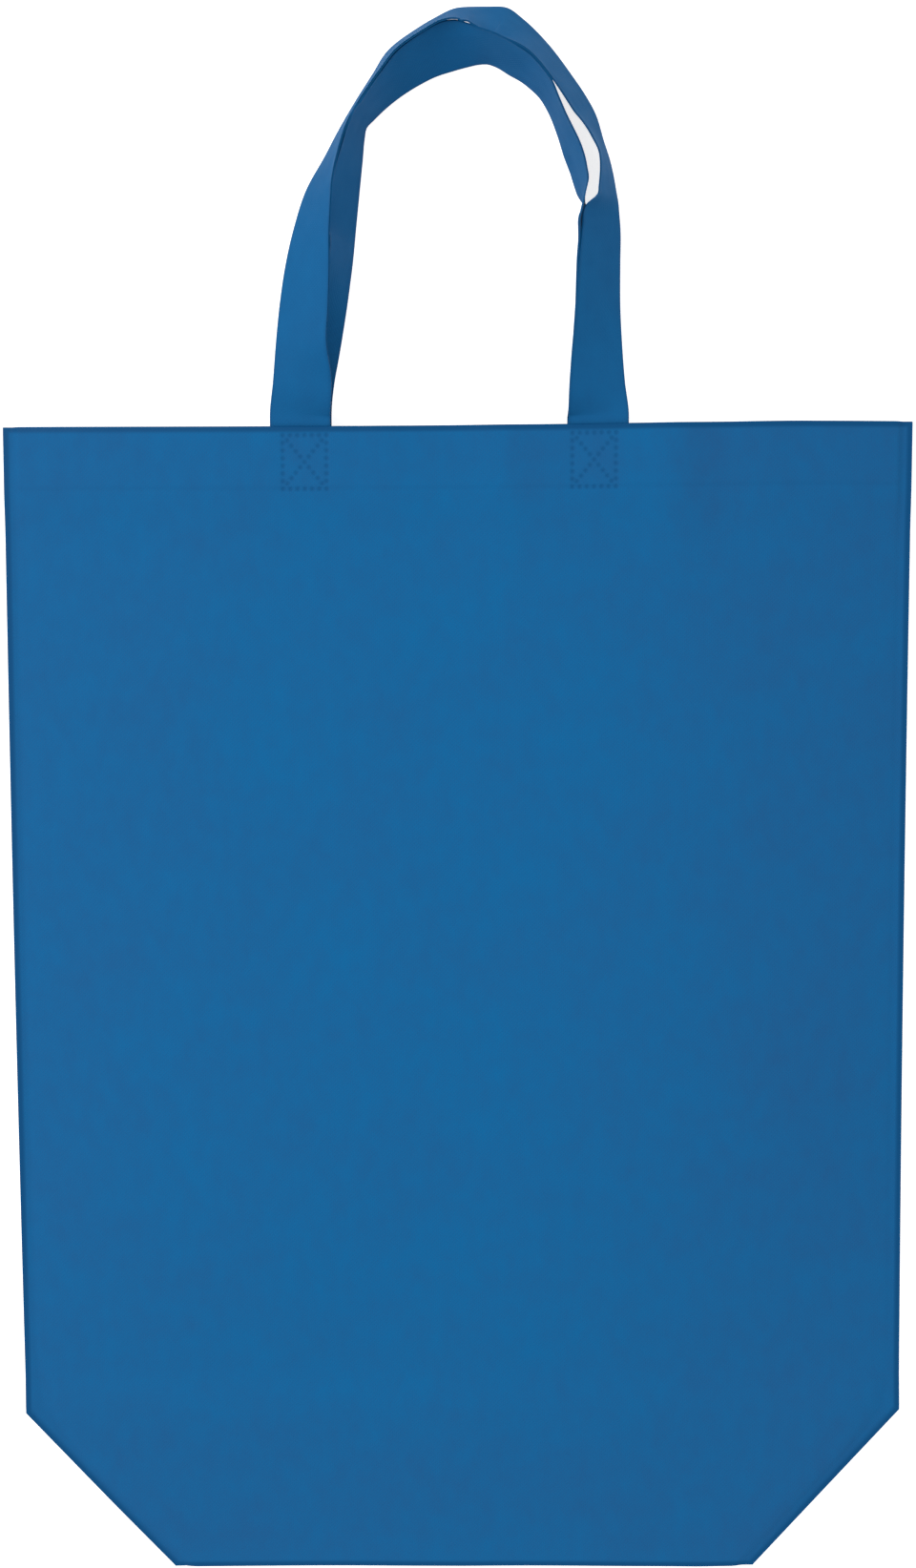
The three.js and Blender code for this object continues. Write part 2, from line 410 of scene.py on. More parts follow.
def ripple(x, up):
    """How far the front panel stands above or below its smooth pillow shape."""
    height = 0.0
    for ridge in RIDGES:
        swell = math.exp(-(((x - ridge["x"]) / ridge["half"]) ** 2))
        height += ridge["height"] * swell * soft_step(up, BAG_HEIGHT - ridge["reach"], BAG_HEIGHT)
    slow = Vector((x / WAVE_LENGTH, up / (WAVE_STRETCH * WAVE_LENGTH), WAVE_PLACE))
    small = SMALL_WAVE_HEIGHT * noise.noise(slow * SMALL_WAVE_SCALE)
    height += WAVE_HEIGHT * (noise.noise(slow) + small)
    height -= HEM_GROOVE * math.exp(-(((up - HEM_LINE) / HEM_GROOVE_HALF) ** 2))
    return height * soft_step(inset(x, up), 0, RIPPLE_BORDER)


print(f"ridge at the mouth {ripple(RIDGES[0]['x'], BAG_HEIGHT) / mm:.2f} mm high")

# %% [markdown]
# ## Painted shade on the front panel
# Shade is painted into the sheet as a deeper tone where the panel turns from the light: over the right
# half, over the folded bottom and along a little of the left side, and in two bands at the mouth where
# soft folds turn away, with a painted lighter band between them. The tone is also a little deeper above
# the hem line. Patches of noise would fall anywhere, so each region is a soft step or a swell of its own,
# and all of them add up to one share.

# %% Painted shade of the front panel
RIGHT_TONE = 0.75
RIGHT_START = 20 * mm
RIGHT_EDGE_LOSS = 0.3
RIGHT_EDGE_START = 150 * mm
LOW_RIGHT_KEPT = 0.7
LOW_RIGHT_SPAN = (40 * mm, 160 * mm)
LEFT_TONE = 0.33
LEFT_SPAN = (40 * mm, 170 * mm)
HEM_TONE = 0.08
HEM_BLUR = 1 * mm
GUSSET_TONE = 0.42
GUSSET_TONE_START = 40 * mm
GUSSET_UNDER_SIDES = 0.6
BAND_FULL_SHARE = 0.3
# Bands of painted shade at the mouth, and one of painted light where the share is below 0.
PAINTED_SHADE_BANDS = [
    {"x": 30 * mm, "half": 9 * mm, "share": 0.45, "reach": 75 * mm},
    {"x": 103 * mm, "half": 10 * mm, "share": 0.40, "reach": 80 * mm},
    {"x": 78 * mm, "half": 9 * mm, "share": -0.30, "reach": 70 * mm},
]


def painted_shade(x, up):
    """The share of painted shade at a place on the bag, from 0 to about 1."""
    # Painted shade over the right half, where the panel turns away from the light, a little less near the
    # bottom.
    right = RIGHT_TONE * soft_step(x, RIGHT_START, HALF_WIDTH)
    right -= RIGHT_EDGE_LOSS * soft_step(x, RIGHT_EDGE_START, HALF_WIDTH)
    share = right * mix(LOW_RIGHT_KEPT, 1, soft_step(up, *LOW_RIGHT_SPAN))
    # Painted shade along the left side.
    share += LEFT_TONE * soft_step(-x, *LEFT_SPAN)
    share += HEM_TONE * soft_step(up, HEM_LINE - HEM_BLUR, HEM_LINE + HEM_BLUR)
    # Painted shade over the folded bottom.
    over_gusset = 1 - soft_step(up, GUSSET_TONE_START, GUSSET_DEPTH + STACK_RAMP)
    share += GUSSET_TONE * over_gusset * (1 - GUSSET_UNDER_SIDES * share)
    # Two bands of painted shade at soft folds of the mouth, and a painted lighter band between them.
    for band in PAINTED_SHADE_BANDS:
        swell = math.exp(-(((x - band["x"]) / band["half"]) ** 2))
        full_at = BAG_HEIGHT - BAND_FULL_SHARE * band["reach"]
        share += band["share"] * swell * soft_step(up, BAG_HEIGHT - band["reach"], full_at)
    return share


middle_share, right_share = (painted_shade(x, BAG_HEIGHT / 2) for x in (0, RIGHT_EDGE_START))
print(f"backed share {middle_share:.2f} at the middle and {right_share:.2f} further right")

# %% [markdown]
# ## Weld marks
# Each strap end is welded through the hem by a tool with small teeth, set like a sewn box with a cross in
# it. The teeth leave dents in the outer face. They are modelled as real dents, so that they catch the
# light at any angle, and the same field of marks tells the finish where the sheet is welded.

# %% Places of the weld marks
MARK_ACROSS = 18 * mm
MARK_UP = 22.2 * mm
MARK_MIDDLE = BAG_HEIGHT - 14.9 * mm
MARK_PLACES = [-62.9 * mm, 56.6 * mm]
TOOTH_PITCH = 3 * mm
TOOTH_RADIUS = 1.0 * mm
TOOTH_TIP = 0.35 * TOOTH_RADIUS
TOOTH_FOOT = 1.5 * TOOTH_RADIUS
TOOTH_DEPTH = 0.22 * mm
PAD_DEPTH = 0.12 * mm
PAD_MARGIN = 1.8 * mm


def teeth():
    """Tooth places about a mark's middle: a box and the two lines of a cross."""
    along_top = round(MARK_ACROSS / TOOTH_PITCH)
    along_side = round(MARK_UP / TOOTH_PITCH)
    along_cross = round(math.hypot(MARK_ACROSS, MARK_UP) / TOOTH_PITCH)
    places = set()
    for end in (-0.5, 0.5):
        places |= {(i / along_top - 0.5, end) for i in range(along_top + 1)}
        places |= {(end, i / along_side - 0.5) for i in range(along_side + 1)}
        cross = [i / along_cross - 0.5 for i in range(along_cross + 1)]
        places |= {(share, 2 * end * share) for share in cross}
    return [(across * MARK_ACROSS, up * MARK_UP) for across, up in sorted(places)]


TEETH = teeth()


def in_mark(x, up, margin):
    """The mark that a place lies in, as an offset from the mark's middle, or None."""
    for middle in MARK_PLACES:
        across, rise = x - middle, up - MARK_MIDDLE
        if abs(across) <= MARK_ACROSS / 2 + margin and abs(rise) <= MARK_UP / 2 + margin:
            return across, rise
    return None


def pressed(x, up):
    """(depth of the dent, share of a tooth, share of the pad round the teeth) on a panel's outer face."""
    offset = in_mark(x, up, PAD_MARGIN)
    if offset is None:
        return 0.0, 0.0, 0.0
    across, rise = offset
    nearest = min(math.hypot(across - a, rise - r) for a, r in TEETH)
    tooth = 1 - soft_step(nearest, TOOTH_TIP, TOOTH_FOOT)
    edge = max(abs(across) - MARK_ACROSS / 2, abs(rise) - MARK_UP / 2)
    pad = 1 - soft_step(edge, 0, PAD_MARGIN)
    return PAD_DEPTH * pad + TOOTH_DEPTH * tooth, tooth, pad


print(len(TEETH), "teeth in each weld mark")

# %% [markdown]
# ## Layers of the folded web
# One long web is folded into the whole body. From end to end it is: front hem, front panel, front half of
# the gusset, back half, back panel, back hem. Every layer has a height over the floor, and at the welded
# edges all of them are pressed into one stack.

# %% Heights of the layers
FOLD_RADIUS = (SHEET + LAYER_GAP) / 2
EDGE = FOLD_RADIUS + SHEET / 2
PRESSED_GAP = 0.02 * mm
PRESSED_STEP = SHEET + PRESSED_GAP
WELD_BORDER = (0.8 * WELD_WIDTH, 1.7 * WELD_WIDTH)


def at_edge(x, up):
    """1 on the welded edges and 0 inside them."""
    return 1 - soft_step(inset(x, up), *WELD_BORDER)


def layer(free, level):
    """A layer's height: its free height inside the bag, and its level of the pressed stack at a weld."""
    def height(x, up):
        stack_height = SHEET / 2 + level(up) * PRESSED_STEP
        return mix(free(x, up), stack_height, at_edge(x, up))
    return height


def slot(x, up):
    """Half the space between the gusset's two halves: wide at the bottom edge, closed at the inner fold."""
    wide = room(x, up) - 2 * (SHEET + LAYER_GAP)
    return mix(wide, LAYER_GAP, min(1.0, max(0.0, up / GUSSET_DEPTH))) / 2


def front_free(x, up):
    return 1.5 * SHEET + room(x, up) + ripple(x, up) - pressed(x, up)[0]


def gusset_front_free(x, up):
    follow = ripple(x, up) * (1 - up / GUSSET_DEPTH)
    return 1.5 * SHEET + room(x, up) / 2 + slot(x, up) + follow


front = layer(front_free, lambda up: 1 + 2 * stacked(up))
front_hem = layer(lambda x, up: front_free(x, up) - SHEET - LAYER_GAP, lambda up: 2)
gusset_front = layer(gusset_front_free, lambda up: 2)
gusset_back = layer(lambda x, up: SHEET / 2 + room(x, up) / 2 - slot(x, up), lambda up: 1)
back = layer(lambda x, up: SHEET / 2 + pressed(x, up)[0], lambda up: 0)
back_hem = layer(lambda x, up: 1.5 * SHEET + LAYER_GAP + pressed(x, up)[0], lambda up: 1)
print(f"front panel {front(0, BAG_HEIGHT / 2) / mm:.1f} mm over the floor at the middle")

# %% [markdown]
# ## The fold path
# Each run of the path is either a flat layer between two heights up the bag, or a half turn from one
# layer to the next. A Simple Deform modifier bends one fold at a time, and this web has five, so the path
# is written out as a list of runs.

# %% Runs of the fold path
TOP_TURN = BAG_HEIGHT - EDGE
BOTTOM_TURN = EDGE
INNER_TURN = GUSSET_DEPTH - EDGE
RUNS = [
    (front_hem, front_hem, HEM_LINE, TOP_TURN),
    (front_hem, front, TOP_TURN, TOP_TURN),
    (front, front, TOP_TURN, BOTTOM_TURN),
    (front, gusset_front, BOTTOM_TURN, BOTTOM_TURN),
    (gusset_front, gusset_front, BOTTOM_TURN, INNER_TURN),
    (gusset_front, gusset_back, INNER_TURN, INNER_TURN),
    (gusset_back, gusset_back, INNER_TURN, BOTTOM_TURN),
    (gusset_back, back, BOTTOM_TURN, BOTTOM_TURN),
    (back, back, BOTTOM_TURN, TOP_TURN),
    (back, back_hem, TOP_TURN, TOP_TURN),
    (back_hem, back_hem, TOP_TURN, HEM_LINE),
]
TURN_LENGTH = math.pi * FOLD_RADIUS
LENGTHS = [abs(end - start) or TURN_LENGTH for _, _, start, end in RUNS]
STARTS = [sum(LENGTHS[:i]) for i in range(len(LENGTHS))]
WEB_LENGTH = sum(LENGTHS)
START_SLACK = 1e-9


def run_at(web):
    """The run that a place along the web lies in, and how far along that run it is."""
    index = max(i for i, start in enumerate(STARTS) if i == 0 or web >= start - START_SLACK)
    return index, min(1.0, (web - STARTS[index]) / LENGTHS[index])


def up_at(web):
    """Height up the bag of a place along the web."""
    index, share = run_at(web)
    _, _, start, end = RUNS[index]
    return mix(start, end, share)


print(f"web {2 * HALF_WIDTH / mm:.0f} by {WEB_LENGTH / mm:.0f} mm before folding")

# %% [markdown]
# ## From the flat web to the folded bag
# The path turns any place on the flat web into a place on the folded bag. Edges of soft sheet are never
# quite straight, so handling is added as a small pull: the mouth sags a little, the bottom edge lifts at
# its middle, and the sides bow to the left. Without it the outline looks like cut board.

# %% Carry a place to the folded bag
MOUTH_SAG = 1.45 * mm
SAG_MIDDLE = -30 * mm
SAG_HALF = 170 * mm
BOTTOM_LIFT = 1.2 * mm
LIFT_MIDDLE = -25 * mm
LIFT_HALF = 105 * mm
LEAST_LIFT = -0.5
PULL_FADE = 4
SIDE_BOW = 0.8 * mm


def pulled(x, up):
    """How far handling has drawn a place out of square."""
    share = up / BAG_HEIGHT
    sag = MOUTH_SAG * max(0.0, 1 - ((x - SAG_MIDDLE) / SAG_HALF) ** 2) * share**PULL_FADE
    lift = BOTTOM_LIFT * max(LEAST_LIFT, 1 - ((x - LIFT_MIDDLE) / LIFT_HALF) ** 2)
    lift *= (1 - share) ** PULL_FADE
    return Vector((-SIDE_BOW * math.sin(math.pi * share), lift - sag, 0))


def folded(x, web):
    """A place on the flat web, carried to the folded bag."""
    index, share = run_at(web)
    first, second, start, end = RUNS[index]
    up = mix(start, end, share)
    if first is second:
        return pulled(x, up) + Vector((x, BOTTOM + up, first(x, up)))
    low, high = first(x, up), second(x, up)
    outward = -1 if start == BOTTOM_TURN else 1
    angle = math.pi * share
    bulge = outward * abs(high - low) / 2 * math.sin(angle)
    return pulled(x, up) + Vector((x, BOTTOM + up + bulge, mix(low, high, (1 - math.cos(angle)) / 2)))


print("the web starts at", [round(value, 3) for value in folded(0, 0)])

# %% [markdown]
# ## The body as one web
# The web starts as a flat grid whose columns and rows are close together only where the sheet bends. An
# even grid that is fine enough for the folds would have millions of faces. In a draft, each row stands at
# its height up the bag and keeps its place along the web as its z.

# %% Rows and columns of the web
GRID_STEP = 6 * mm
FINE_STEP = 0.8 * mm
TURN_STEPS = 6
RIM = 3.2 * mm
HEM_CLOSE_UP = (HEM_LINE - 2 * mm, HEM_LINE + 3 * mm)


def stops(start, end, step, close_ups):
    """Places from start to end: even steps, with fine steps inside each close-up."""
    low, high = min(start, end), max(start, end)
    edges = sorted({low, high} | {edge for span in close_ups for edge in span if low < edge < high})
    places = [low]
    for near, far in zip(edges, edges[1:]):
        inside = any(a <= (near + far) / 2 <= b for a, b in close_ups)
        count = max(1, math.ceil((far - near) / (FINE_STEP if inside else step)))
        places += [mix(near, far, (i + 1) / count) for i in range(count)]
    return places if start < end else places[::-1]


def borders(middle, half):
    """Grid lines at both borders of a weld mark, as close-ups without a length."""
    return [(middle + side * (half + PAD_MARGIN),) * 2 for side in (-1, 1)]


mark_edges = [line for middle in MARK_PLACES for line in borders(middle, MARK_ACROSS / 2)]
mark_ends = borders(MARK_MIDDLE, MARK_UP / 2)
side_bands = [(-HALF_WIDTH, 2 * WELD_WIDTH - HALF_WIDTH), (HALF_WIDTH - 2 * WELD_WIDTH, HALF_WIDTH)]
columns = stops(-HALF_WIDTH, HALF_WIDTH, GRID_STEP, side_bands + mark_edges)
rows = [STARTS[0]]
close_ups = mark_ends + [HEM_CLOSE_UP, (0, RIM), (BAG_HEIGHT - RIM, BAG_HEIGHT)]
for (first, second, start, end), begin, length in zip(RUNS, STARTS, LENGTHS):
    if first is second:
        rows += [begin + abs(up - start) for up in stops(start, end, GRID_STEP, close_ups)[1:]]
    else:
        rows += [begin + length * (i + 1) / TURN_STEPS for i in range(TURN_STEPS)]
print(len(columns), "columns and", len(rows), "rows")

# %% [markdown]
# ## Cutting the corners
# In the draft, one upright cut takes a bottom corner off all four layers at once, as the real cutting tool
# does. Cuts made after folding would have to agree on every layer. A few more cuts beside it, which take
# nothing off, give the diagonal weld its borders.

# %% Cut the web
CUT_SNAP = 1e-6
CUT_BORDERS = [1.2 * mm, 2.4 * mm, 3.6 * mm, 5.0 * mm, 7.0 * mm]

web = bmesh.new()
bmesh.ops.create_grid(web, x_segments=len(columns) - 1, y_segments=len(rows) - 1, size=0.5)
for vertex in web.verts:
    column = round((vertex.co.x + 0.5) * (len(columns) - 1))
    row = round((vertex.co.y + 0.5) * (len(rows) - 1))
    vertex.co = (columns[column], up_at(rows[row]), rows[row])

for side in (-1, 1):
    outward = Vector((side * GUSSET_DEPTH, -CORNER_CUT, 0)).normalized()
    corner = Vector((side * HALF_WIDTH, GUSSET_DEPTH, 0))
    for border in CUT_BORDERS:
        everything = web.verts[:] + web.edges[:] + web.faces[:]
        bmesh.ops.bisect_plane(
            web, geom=everything, dist=CUT_SNAP, plane_co=corner - border * outward, plane_no=outward
        )
    everything = web.verts[:] + web.edges[:] + web.faces[:]
    bmesh.ops.bisect_plane(
        web, geom=everything, dist=CUT_SNAP, plane_co=corner, plane_no=outward, clear_outer=True
    )
print(len(web.faces), "faces after the corners are cut")

# %% [markdown]
# ## A closer mesh for the weld marks
# The teeth are only about two millimetres across, so the mesh has to be finer under the marks. A bump in
# the finish would be lost from the side. Only the faces of the two outer panels there are subdivided, so
# the rest of the web stays light.

# %% Close mesh for the weld marks
MARK_CUTS = 9
MARK_SLACK = 0.1 * mm


def on_panel(web_place):
    """Whether a place along the web is on one of the two outer panels."""
    return RUNS[run_at(web_place)[0]][0] in (front, back)


in_marks = [
    edge
    for edge in web.edges
    if all(in_mark(v.co.x, v.co.y, PAD_MARGIN + MARK_SLACK) and on_panel(v.co.z) for v in edge.verts)
]
bmesh.ops.subdivide_edges(web, edges=in_marks, cuts=MARK_CUTS, use_grid_fill=True)
print(len(web.faces), "faces with the weld marks")

# %% [markdown]
# ## Folding the web
# Now every vertex goes to its place on the folded bag. Before it moves, the mesh stores what the finish
# reads: the map of the flat sheet, how far a place is welded, and its share of painted shade. A thin rim
# along every edge, at the folds of the mouth and the bottom too, takes the weld colour in full, a painted
# dark outline for the shade where the sheet turns at its edges. The thickness comes last, from a Solidify
# modifier that puts half of it on each side.

# %% Fold the web
TOOTH_WELD = 0.55
EDGE_WELD = 0.12
HEM_WELD = 0.11
PAD_TONE = 0.25
RIM_START = 1.5 * mm
SHARP_ANGLE = math.radians(50)

flat_map = web.loops.layers.uv.new("flat")
weld_and_outline_share = web.verts.layers.float.new("weld")
shade_and_pad_layer = web.verts.layers.float.new("painted_shade")
for face in web.faces:
    face.smooth = True
    for loop in face.loops:
        place = loop.vert.co
        loop[flat_map].uv = ((place.x + HALF_WIDTH) / FLAT_SPAN, place.z / FLAT_SPAN)
for vertex in web.verts:
    x, up, along = vertex.co
    _, tooth, pad = pressed(x, up) if on_panel(along) else (0.0, 0.0, 0.0)
    # The rim along every edge, the mouth and bottom folds too, takes the weld colour in full: a painted
    # dark outline for shade.
    rim = 1 - soft_step(min(*from_edges(x, up), up, BAG_HEIGHT - up), RIM_START, RIM)
    hem_line = math.exp(-(((up - HEM_LINE) / HEM_GROOVE_HALF) ** 2))
    vertex[weld_and_outline_share] = max(TOOTH_WELD * tooth, EDGE_WELD * at_edge(x, up), rim, HEM_WELD * hem_line)
    # The share of painted shade, plus the deeper tone of the weld pads, which is the pressed sheet's own.
    vertex[shade_and_pad_layer] = painted_shade(x, up) + PAD_TONE * pad
    vertex.co = folded(x, along)
bmesh.ops.recalc_face_normals(web, faces=web.faces[:])


def sheet_piece(name, mesh_data, thickness, finish):
    """An object of the folded sheet, with half the sheet's thickness on each side of it."""
    mesh = bpy.data.meshes.new(name)
    mesh_data.to_mesh(mesh)
    mesh_data.free()
    piece = bpy.data.objects.new(name, mesh)
    bpy.context.scene.collection.objects.link(piece)
    wall = piece.modifiers.new("thickness", "SOLIDIFY")
    wall.thickness = thickness
    wall.offset = 0
    thick = piece.evaluated_get(bpy.context.evaluated_depsgraph_get())
    piece.data = bpy.data.meshes.new_from_object(thick)
    piece.modifiers.clear()
    piece.data.set_sharp_from_angle(angle=SHARP_ANGLE)
    piece.data.materials.clear()
    piece.data.materials.append(finish)
    return piece


bag = sheet_piece("folded_body", web, SHEET, body_finish)
print(len(bag.data.polygons), "faces in the body")

# %% [markdown]
# ## Handles
# Each handle is a strip folded lengthwise in two, with its ends lying flat in the hem, where they are
# welded. Laid flat, such a strip can't turn a tight curve, so round the top of the loop it stands up on its
# fold. The front strap has its fold outside and leans in. The back strap has its fold inside and leans out
# against the front one: its left end is turned over for that, and on the right it swings under the front
# strap. The straps aren't simulated as cloth either: each follows a route, the line of its fold from the
# left weld to the right one, with a lean at each station.

# %% Routes of the two loops
STRAP_WIDTH = 25 * mm
HANDLE_MIDDLE = -3.35 * mm
HALF_SPAN = 74.15 * mm
LOOP_RISE = 170.5 * mm
FLAT_RISES = [-24.5 * mm, -10 * mm, 2 * mm]

# Each station: share of half the span, share of the rise, height of the fold in mm, lean in degrees.
# The stations come from a fit to the outline in the photograph, which gave more of them. Some were
# left out and most leans were rounded, but the places are the fit's own.
FRONT_LOOP = [
    (-0.974, 0.102, 15.7, 12), (-0.954, 0.187, 17, 30), (-0.931, 0.278, 16.5, 34), (-0.9, 0.37, 14, 40),
    (-0.854, 0.464, 9.5, 50), (-0.782, 0.563, 5, 61), (-0.686, 0.638, 2.5, 73), (-0.595, 0.712, 1, 79),
    (-0.493, 0.784, 1, 79), (-0.412, 0.837, 1, 78), (-0.337, 0.887, 1, 75.5), (-0.177, 0.94, 1, 74),
    (-0.07, 0.967, 1, 73), (0.056, 0.991, 1, 65), (0.115, 0.992, 1.8, 64), (0.167, 0.991, 2.8, 59),
    (0.225, 0.99, 3.6, 53), (0.336, 0.986, 4, 49), (0.42, 0.96, 4, 53), (0.546, 0.907, 3.8, 62),
    (0.683, 0.832, 2.9, 65), (0.769, 0.779, 2.2, 65), (0.817, 0.743, 1.5, 66), (0.87, 0.671, 1, 75),
    (0.897, 0.635, 1.2, 77), (0.918, 0.598, 1.5, 75), (0.937, 0.549, 3.2, 70), (0.943, 0.535, 3.4, 68),
    (0.948, 0.521, 3.6, 61), (0.951, 0.505, 3.9, 53), (0.958, 0.464, 4.5, 49), (0.956, 0.372, 6, 45),
    (0.955, 0.279, 8, 41), (0.963, 0.186, 10.5, 33), (0.977, 0.094, 13, 21),
]
BACK_LOOP = [
    (-0.638, 0.101, 8.5, 172), (-0.619, 0.147, 6.8, 163), (-0.601, 0.194, 5, 153), (-0.584, 0.24, 4, 141),
    (-0.568, 0.287, 3, 127), (-0.554, 0.333, 2.5, 116), (-0.54, 0.379, 2, 110), (-0.517, 0.471, 1.5, 113),
    (-0.495, 0.562, 1, 113), (-0.476, 0.639, 1, 109), (-0.465, 0.686, 1, 103), (-0.453, 0.711, 1, 99),
    (-0.413, 0.729, 1, 101), (-0.346, 0.756, 1, 105), (-0.265, 0.783, 1, 111), (-0.167, 0.809, 1, 120),
    (-0.062, 0.831, 1, 123), (0.027, 0.843, 1, 130), (0.113, 0.853, 1, 126), (0.176, 0.859, 1, 113),
    (0.222, 0.86, 1, 106), (0.277, 0.852, 1, 105), (0.341, 0.835, 1, 105), (0.415, 0.817, 1, 103),
    (0.468, 0.799, 1, 102), (0.511, 0.781, 1, 100), (0.563, 0.745, 1, 97), (0.614, 0.69, 1, 98),
    (0.653, 0.636, 1, 102), (0.685, 0.6, 1, 101), (0.712, 0.563, 1, 99), (0.726, 0.547, 1, 98),
    (0.746, 0.534, 1, 92), (0.77, 0.52, 1, 82), (0.802, 0.502, 1.1, 72), (0.833, 0.476, 1.3, 67),
    (0.86, 0.446, 1.6, 63), (0.896, 0.372, 2.5, 55), (0.919, 0.282, 3.9, 49), (0.938, 0.18, 6.4, 40),
    (0.967, 0.098, 10, 26),
]


def stations(loop, seat, turned):
    """Places of the fold and its leans from weld to weld, with the ends flat on their seats in the hem."""
    def end(side, from_inside):
        edges = [HANDLE_MIDDLE + side * HALF_SPAN, HANDLE_MIDDLE + side * (HALF_SPAN - STRAP_WIDTH)]
        outer, inner = seat(edges[0]), seat(edges[1])
        lean = math.atan2(inner - outer, STRAP_WIDTH)
        if from_inside:
            return [(edges[1], MOUTH + rise, inner, math.pi + lean) for rise in FLAT_RISES]
        return [(edges[0], MOUTH + rise, outer, lean) for rise in FLAT_RISES]

    middle = [
        (HANDLE_MIDDLE + across * HALF_SPAN, MOUTH + rise * LOOP_RISE, height * mm, math.radians(lean))
        for across, rise, height, lean in loop
    ]
    return [Vector(place) for place in end(-1, turned) + middle + end(1, False)[::-1]]


def smooth_route(points, step):
    """A smooth curve through the points, as places about one step apart, straight along its flat ends."""
    spans = [(far - near).to_3d().length for near, far in zip(points, points[1:])]
    slopes = [(far - near) / span for near, far, span in zip(points, points[1:], spans)]
    ways = [slopes[0]]
    for i in range(1, len(slopes)):
        ways.append((slopes[i - 1] * spans[i] + slopes[i] * spans[i - 1]) / (spans[i - 1] + spans[i]))
    ways.append(slopes[-1])
    for i in (1, 2):
        ways[i], ways[-1 - i] = slopes[0], slopes[-1]
    route = []
    for i, span in enumerate(spans):
        count = max(2, round(span / step))
        for t in (j / count for j in range(count)):
            route.append(
                points[i] * (2 * t**3 - 3 * t**2 + 1)
                + ways[i] * span * (t**3 - 2 * t**2 + t)
                + points[i + 1] * (3 * t**2 - 2 * t**3)
                + ways[i + 1] * span * (t**3 - t**2)
            )
    return route + [points[-1]]


print(len(FRONT_LOOP), "and", len(BACK_LOOP), "stations")

# %% [markdown]
# ## Folding a strap
# Across the strap, two layers meet in a small half turn at the fold, and lie close and parallel from there
# to their open edges. The sheet is pressed thinner than in the panels, which keeps the straps slim where
# they cross. One thick band would not show two layers at its edges, so the section is worked out from the
# flat strip.

# %% Section and directions of a strap
STRAP_SHEET = 0.3 * mm
STRAP_GAP = 0.2 * mm
STRAP_FOLD = (STRAP_SHEET + STRAP_GAP) / 2
STRAP_EDGE = STRAP_FOLD + STRAP_SHEET / 2
TURN_SHARE = 0.02


def strap_section(share):
    """(distance in from the fold, distance through the strap) for a share of the flat strip, -1 to 1."""
    size = abs(share)
    side = math.copysign(1, share)
    if size < TURN_SHARE:
        angle = size / TURN_SHARE * math.pi / 2
        return STRAP_EDGE - STRAP_FOLD * math.cos(angle), side * STRAP_FOLD * math.sin(angle)
    reach = (size - TURN_SHARE) / (1 - TURN_SHARE)
    return mix(STRAP_EDGE, STRAP_WIDTH, reach), side * STRAP_FOLD


def strap_axes(route, row, lean):
    """The directions across and through the strap at one row of its route, for a lean."""
    before, after = route[max(0, row - 1)], route[min(len(route) - 1, row + 1)]
    ahead = Vector((after.x - before.x, after.y - before.y, 0)).normalized()
    across = ahead.cross(Vector((0, 0, 1))) * math.cos(lean) + Vector((0, 0, math.sin(lean)))
    return across, ahead.cross(across)


print(f"strap {2 * STRAP_EDGE / mm:.1f} mm thick")

# %% [markdown]
# ## Leaning one strap on the other
# Round the top the back strap rests against the front one. Rounded leans can leave slits between the two
# or cut into the front strap, so they are only a start here. Each row begins more upright than its
# station says, and leans out until it is pressed lightly on the finished front strap. A short average then
# evens out neighbouring rows. Further right the straps part, and the rows there keep their written lean.

# %% Rest a route on a finished strap
RESTS_ABOVE = MOUTH + 0.45 * LOOP_RISE
RESTS_LEFT_OF = HANDLE_MIDDLE + 0.5 * HALF_SPAN
REST_PRESS = 0.08 * mm
REST_POINTS = 25
LEAN_SEARCH = math.radians(9)
LEAN_STEP = math.radians(0.25)
LEAN_SPAN = 2


def rested(route, support):
    """The same route, with its rows round the top leaned out until they touch the support."""
    tree = BVHTree.FromPolygons(
        [vertex.co for vertex in support.data.vertices],
        [face.vertices for face in support.data.polygons],
    )
    leans = [place.w for place in route]
    for row, place in enumerate(route):
        if place.y < RESTS_ABOVE or place.x > RESTS_LEFT_OF:
            continue
        lean = place.w - LEAN_SEARCH
        while lean < place.w + LEAN_SEARCH:
            across, _ = strap_axes(route, row, lean)
            reaches = [across * STRAP_WIDTH * i / REST_POINTS for i in range(REST_POINTS + 1)]
            nearest = min(tree.find_nearest(place.to_3d() + reach)[3] for reach in reaches)
            if nearest < STRAP_EDGE - REST_PRESS:
                break
            lean += LEAN_STEP
        leans[row] = lean
    spans = [leans[max(0, row - LEAN_SPAN):row + LEAN_SPAN + 1] for row in range(len(route))]
    return [Vector((*place.to_3d(), sum(span) / len(span))) for place, span in zip(route, spans)]


print(f"straps pressed {REST_PRESS / mm:.2f} mm together")

# %% [markdown]
# ## Making the straps
# A strap starts as a flat grid with a column for each place across the section and a row for each place
# along the route. Every vertex is then carried to its section at its row. A curve with a bevel could not
# change its lean so freely, or keep the map of the flat strip. The ends are seated just clear of the hem
# and its dents, the front strap under the front hem and the back strap on the back hem.

# %% Make the straps
ROUTE_STEP = 1.5 * mm
STRAP_CELLS = 10
TURN_CELLS = 3
EDGE_SHARE = 0.06
STRAP_EDGE_OUTLINE = 0.6
STRAP_EDGE_BORDER = 1.6 * mm
SEAT = SHEET / 2 + LAYER_GAP + PAD_DEPTH + TOOTH_DEPTH + STRAP_EDGE


